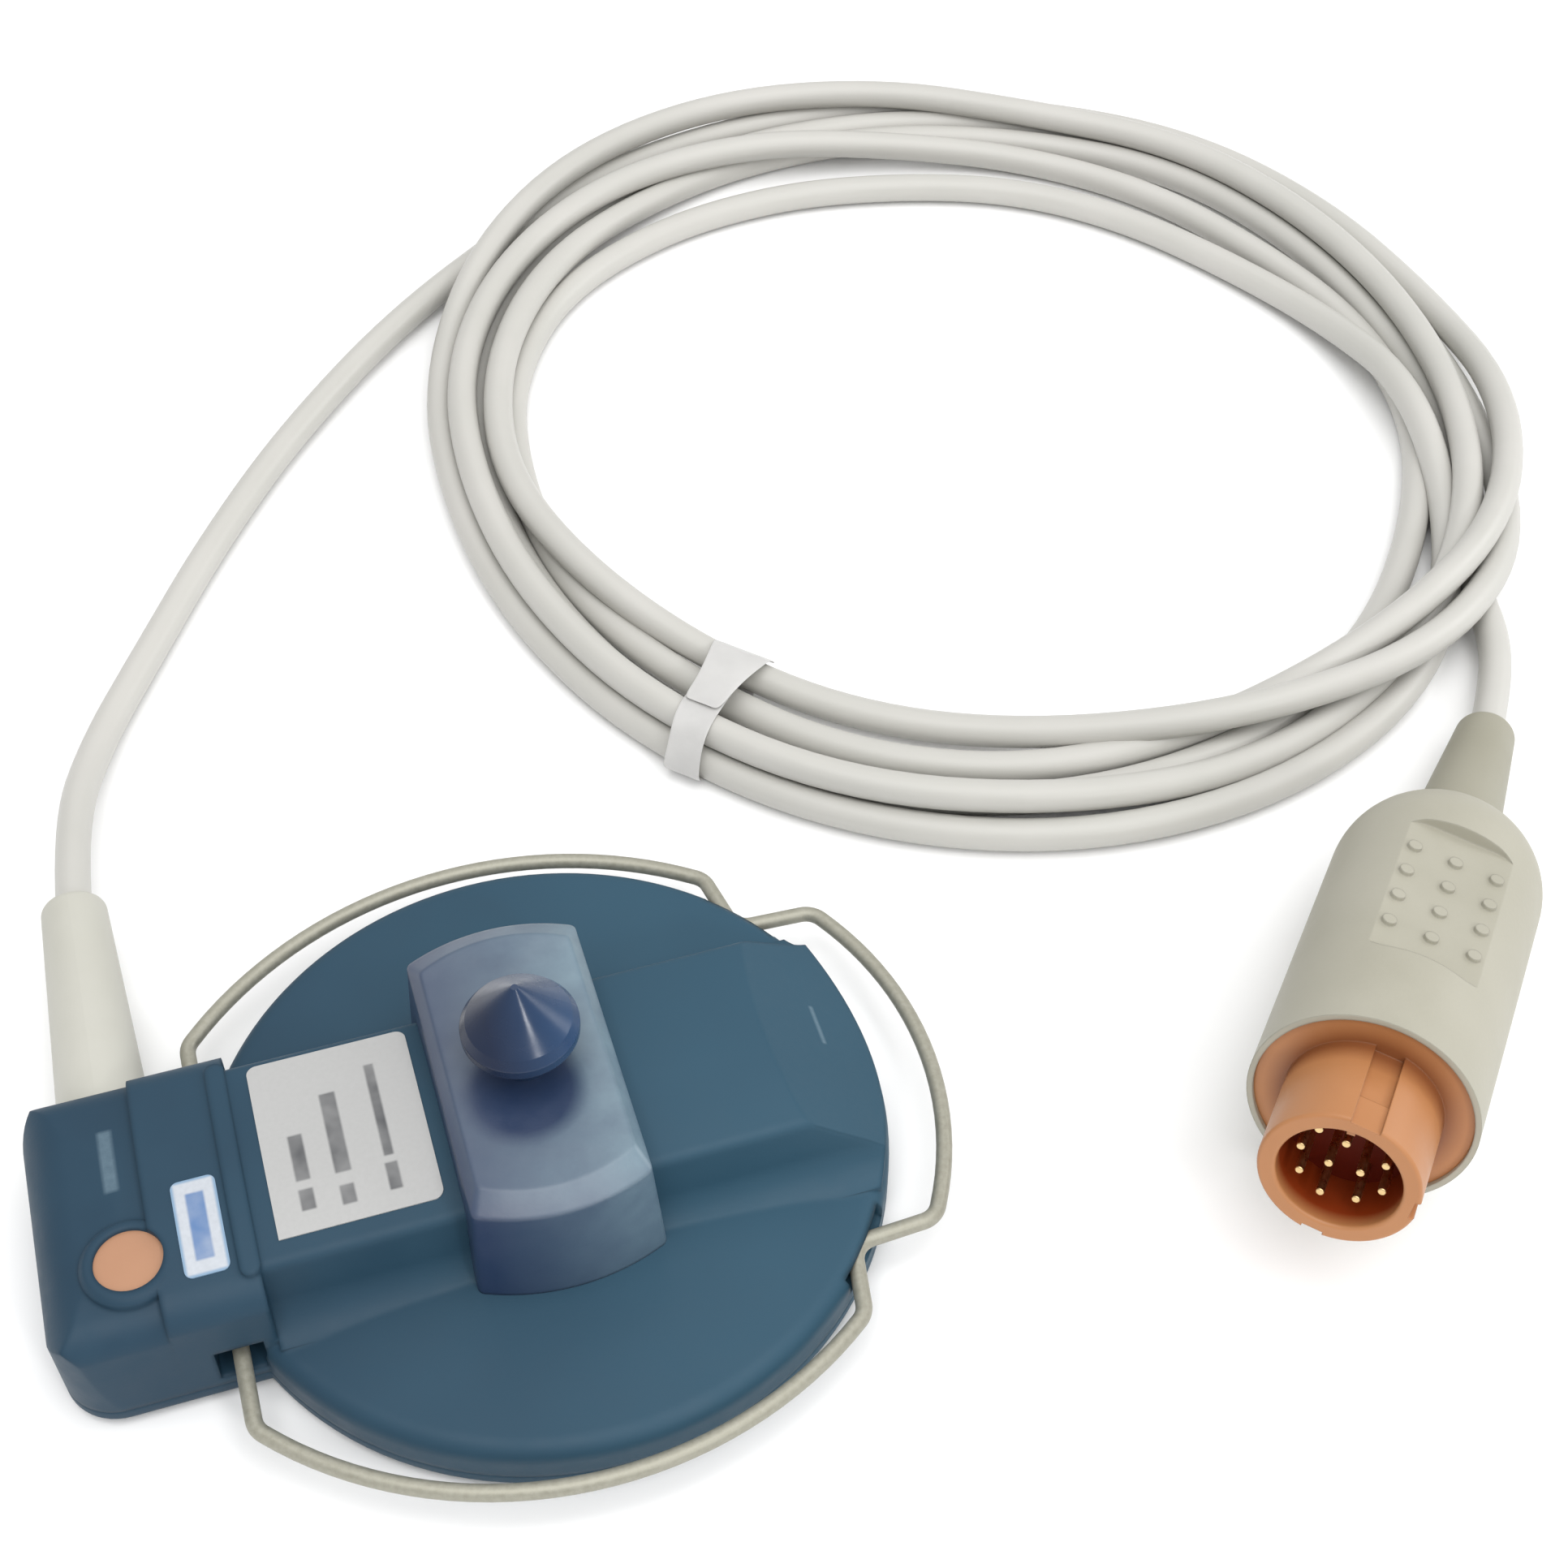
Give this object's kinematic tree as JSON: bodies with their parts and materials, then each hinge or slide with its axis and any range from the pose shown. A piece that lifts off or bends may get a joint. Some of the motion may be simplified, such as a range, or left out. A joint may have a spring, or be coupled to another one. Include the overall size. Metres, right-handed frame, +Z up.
{
  "type": "contraction transducer",
  "caption": "Disc-shaped contraction transducer with a raised spine, belt knob and wire bail, on a coiled cord that ends in a round keyed plug.",
  "frame": {"origin": "middle of the round sensing face, on the plane that it rests on", "axes": "+Z up, away from the patient; -X from the disc towards the neck; +Y the way the cord leaves the neck"},
  "size_m": [0.2335, 0.2493, 0.0372],
  "materials": {
    "housing_plastic": "semi-gloss dark teal blue",
    "bracket_plastic": "semi-gloss dark blue",
    "pad_plastic": "satin blue",
    "wire_steel": "drawn stainless wire",
    "screw_steel": "plain stainless",
    "beam_aluminium": "milled",
    "seal_rubber": "matt black",
    "membrane_rubber": "matt grey silicone",
    "board_laminate": "green solder mask",
    "component_plastic": "moulded black",
    "label_film": "matt printed film",
    "marker_orange": "satin salmon orange",
    "cord_jacket": "satin light warm grey",
    "boot_plastic": "satin off-white",
    "plug_plastic": "fine-grained beige grey",
    "plug_orange": "satin salmon orange",
    "insert_brown": "dark red brown",
    "pin_gold": "gold-plated",
    "tie_film": "translucent white"
  },
  "bodies": {
    "root": {"upper_housing": "housing_plastic", "lower_housing": "housing_plastic", "housing_gasket": "seal_rubber", "housing_screws": "screw_steel", "sensing_pad": "pad_plastic", "pad_membrane": "membrane_rubber", "membrane_ring": "screw_steel", "pad_screw": "screw_steel", "strain_beam": "beam_aluminium", "strain_gauges": "component_plastic", "beam_screws": "screw_steel", "circuit_board": "board_laminate", "board_connector": "component_plastic", "board_chip": "component_plastic", "board_capacitors": "component_plastic", "board_screws": "screw_steel", "inner_leads": "seal_rubber", "cable_clamp": "component_plastic", "clamp_screw": "screw_steel", "cable_boot": "boot_plastic", "wire_bail": "wire_steel", "belt_bracket": "bracket_plastic", "bracket_screws": "screw_steel", "belt_knob": "bracket_plastic", "knob_screw": "screw_steel", "marker_disc": "marker_orange", "data_label": "label_film", "type_label": "label_film", "cord_lead_in": "cord_jacket", "cord_coil": "cord_jacket", "coil_tie": "tie_film", "cord_plug_end": "cord_jacket", "plug_boot": "boot_plastic", "plug_body": "plug_plastic", "plug_shell": "plug_orange", "pin_insert": "insert_brown", "contact_pins": "pin_gold"}
  },
  "joints": []
}
